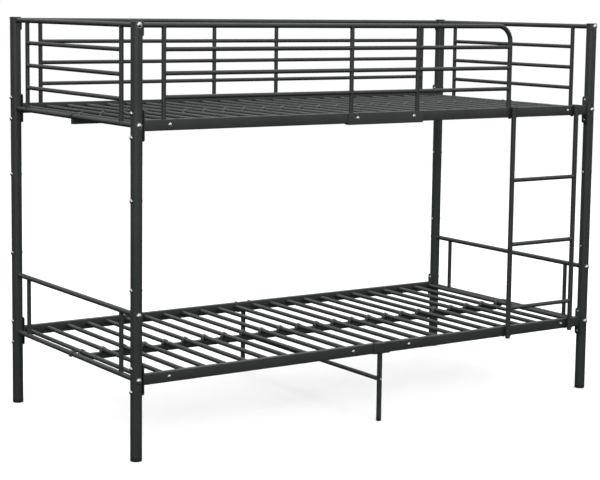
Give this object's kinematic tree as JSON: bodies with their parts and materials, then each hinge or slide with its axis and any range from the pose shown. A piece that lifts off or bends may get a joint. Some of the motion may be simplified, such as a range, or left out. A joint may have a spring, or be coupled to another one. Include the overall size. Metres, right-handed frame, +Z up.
{
  "type": "bunk bed with ladder",
  "caption": "Black steel tube bunk bed: round posts, slatted decks, railed ends, guards around the upper bunk and a hook-on ladder at one end of the front.",
  "frame": {"origin": "on the floor, midway between the four posts", "axes": "+X along the bed towards the ladder end, -Y the open front with the ladder, +Z up"},
  "size_m": [2.0824, 1.0026, 1.473],
  "materials": {
    "black_steel": "black satin powder coat with a fine texture",
    "black_plastic": "moulded black plastic",
    "zinc_steel": "bright zinc-plated bolt heads and washers, in the visual model only"
  },
  "bodies": {
    "bed_frame": {"post_lower_front_left": "black_steel", "post_lower_front_right": "black_steel", "post_lower_rear_left": "black_steel", "post_lower_rear_right": "black_steel", "post_joiner_front_left": "black_steel", "post_joiner_front_right": "black_steel", "post_joiner_rear_left": "black_steel", "post_joiner_rear_right": "black_steel", "post_upper_front_left": "black_steel", "post_upper_front_right": "black_steel", "post_upper_rear_left": "black_steel", "post_upper_rear_right": "black_steel", "post_cap_front_left": "black_plastic", "post_cap_front_right": "black_plastic", "post_cap_rear_left": "black_plastic", "post_cap_rear_right": "black_plastic", "foot_cap_front_left": "black_plastic", "foot_cap_front_right": "black_plastic", "foot_cap_rear_left": "black_plastic", "foot_cap_rear_right": "black_plastic", "end_panel_lower_left": "black_steel", "end_panel_lower_right": "black_steel", "end_panel_upper_left": "black_steel", "end_panel_upper_right": "black_steel", "side_rail_lower_front_left": "black_steel", "side_rail_lower_front_right": "black_steel", "side_rail_lower_rear_left": "black_steel", "side_rail_lower_rear_right": "black_steel", "side_rail_upper_front_left": "black_steel", "side_rail_upper_front_right": "black_steel", "side_rail_upper_rear_left": "black_steel", "side_rail_upper_rear_right": "black_steel", "rail_bracket_lower_front_left": "black_steel", "rail_bracket_lower_front_right": "black_steel", "rail_bracket_lower_rear_left": "black_steel", "rail_bracket_lower_rear_right": "black_steel", "rail_bracket_upper_front_left": "black_steel", "rail_bracket_upper_front_right": "black_steel", "rail_bracket_upper_rear_left": "black_steel", "rail_bracket_upper_rear_right": "black_steel", "rail_joiner_lower_front": "black_steel", "rail_joiner_lower_rear": "black_steel", "rail_joiner_upper_front": "black_steel", "rail_joiner_upper_rear": "black_steel", "slat_grid_lower_left": "black_steel", "slat_grid_lower_right": "black_steel", "slat_grid_upper_left": "black_steel", "slat_grid_upper_right": "black_steel", "beam_joiner_lower": "black_steel", "beam_joiner_upper": "black_steel", "centre_leg_front": "black_steel", "centre_leg_rear": "black_steel", "centre_brace": "black_steel", "centre_foot_front": "black_plastic", "centre_foot_rear": "black_plastic", "guard_front": "black_steel", "guard_rear": "black_steel"},
    "ladder": {"ladder": "black_steel"}
  },
  "joints": [
    {"name": "ladder_lift", "type": "slide", "parent": "bed_frame", "child": "ladder", "axis": [0, 0, 1], "range_m": [0, 0.06]}
  ]
}
